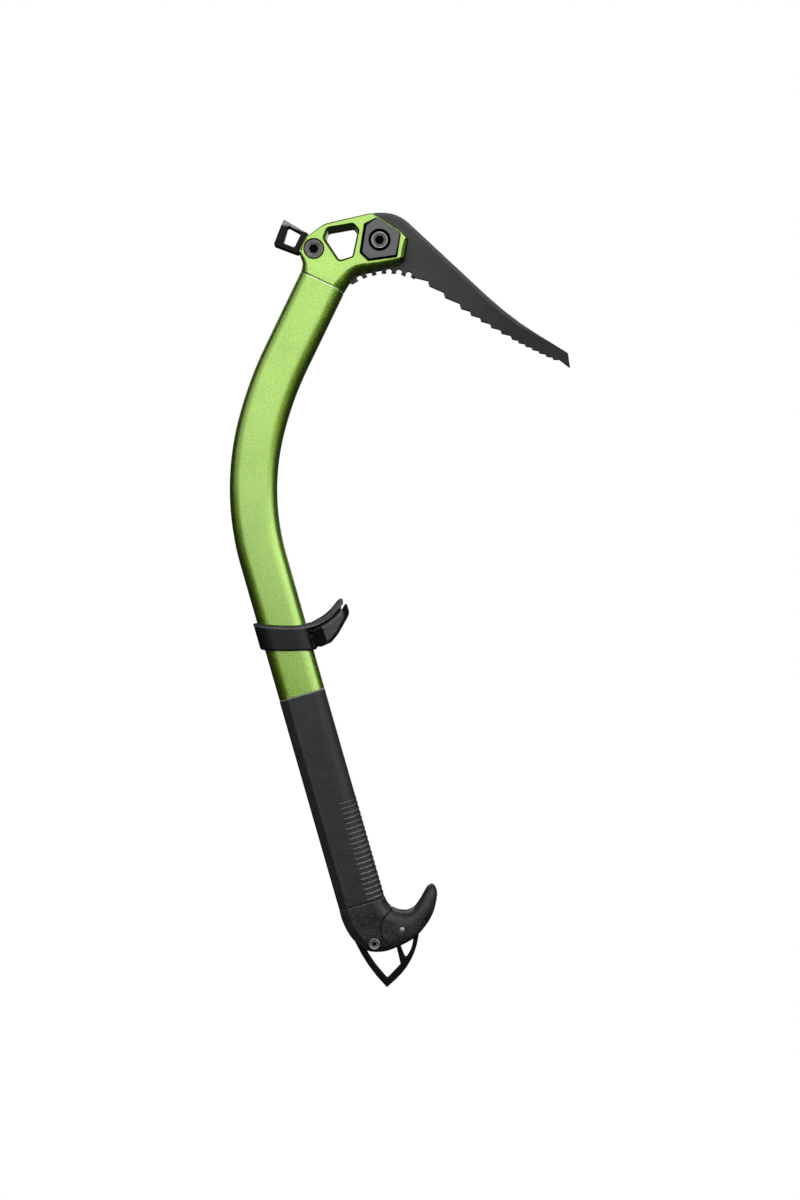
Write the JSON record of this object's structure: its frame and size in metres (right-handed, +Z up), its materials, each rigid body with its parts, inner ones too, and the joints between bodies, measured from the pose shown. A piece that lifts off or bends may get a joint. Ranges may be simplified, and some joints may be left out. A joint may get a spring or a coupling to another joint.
{
  "type": "ice climbing tool",
  "caption": "Bent-shaft ice tool with a toothed pick, hammer loop, clip-in eye, clamp-on finger rest with quick-release lever, ribbed grip, turning little-finger hook and spike.",
  "frame": {"origin": "centre of the clip-in eye in the head, on the tool's middle plane", "axes": "+X along the pick, +Z up from spike to head, +Y across the tool, away from the side that the bolt heads are on"},
  "size_m": [0.221, 0.0262, 0.5027],
  "materials": {
    "anodised": "satin green anodised",
    "pick_steel": "matt dark grey",
    "weight_steel": "matt grey",
    "bolt_steel": "dark phosphated",
    "black_steel": "satin black",
    "bright_steel": "bright",
    "grip_rubber": "matt black",
    "pommel_plastic": "satin black",
    "trigger_plastic": "matt black"
  },
  "bodies": {
    "tool": {"shaft": "anodised", "head": "anodised", "pick": "pick_steel", "pick_bolt": "bolt_steel", "pick_nut": "bolt_steel", "weight_near": "weight_steel", "weight_far": "weight_steel", "hammer": "black_steel", "hammer_bolt": "bolt_steel", "hammer_nut": "bolt_steel", "grip": "grip_rubber", "pommel": "pommel_plastic", "spike": "black_steel", "pommel_bolt": "bright_steel", "pommel_nut": "bright_steel", "hook_pin": "bright_steel"},
    "trigger": {"trigger_collar": "trigger_plastic", "lever_pin": "bright_steel", "cam_shoe": "trigger_plastic"},
    "lever": {"trigger_lever": "trigger_plastic"},
    "hook": {"hook": "pommel_plastic"}
  },
  "joints": [
    {"name": "trigger_slide", "type": "slide", "parent": "tool", "child": "trigger", "axis": [-0.2756, 0, 0.9613], "range_m": [-0.024, 0.034]},
    {"name": "lever_flip", "type": "hinge", "parent": "trigger", "child": "lever", "pos_m": [-0.0138, 0, -0.25661], "axis": [0, 1, 0], "range_deg": [0, 85]},
    {"name": "hook_pivot", "type": "hinge", "parent": "tool", "child": "hook", "pos_m": [0.03944, 0, -0.44337], "axis": [0, 1, 0], "range_deg": [0, 15]}
  ]
}
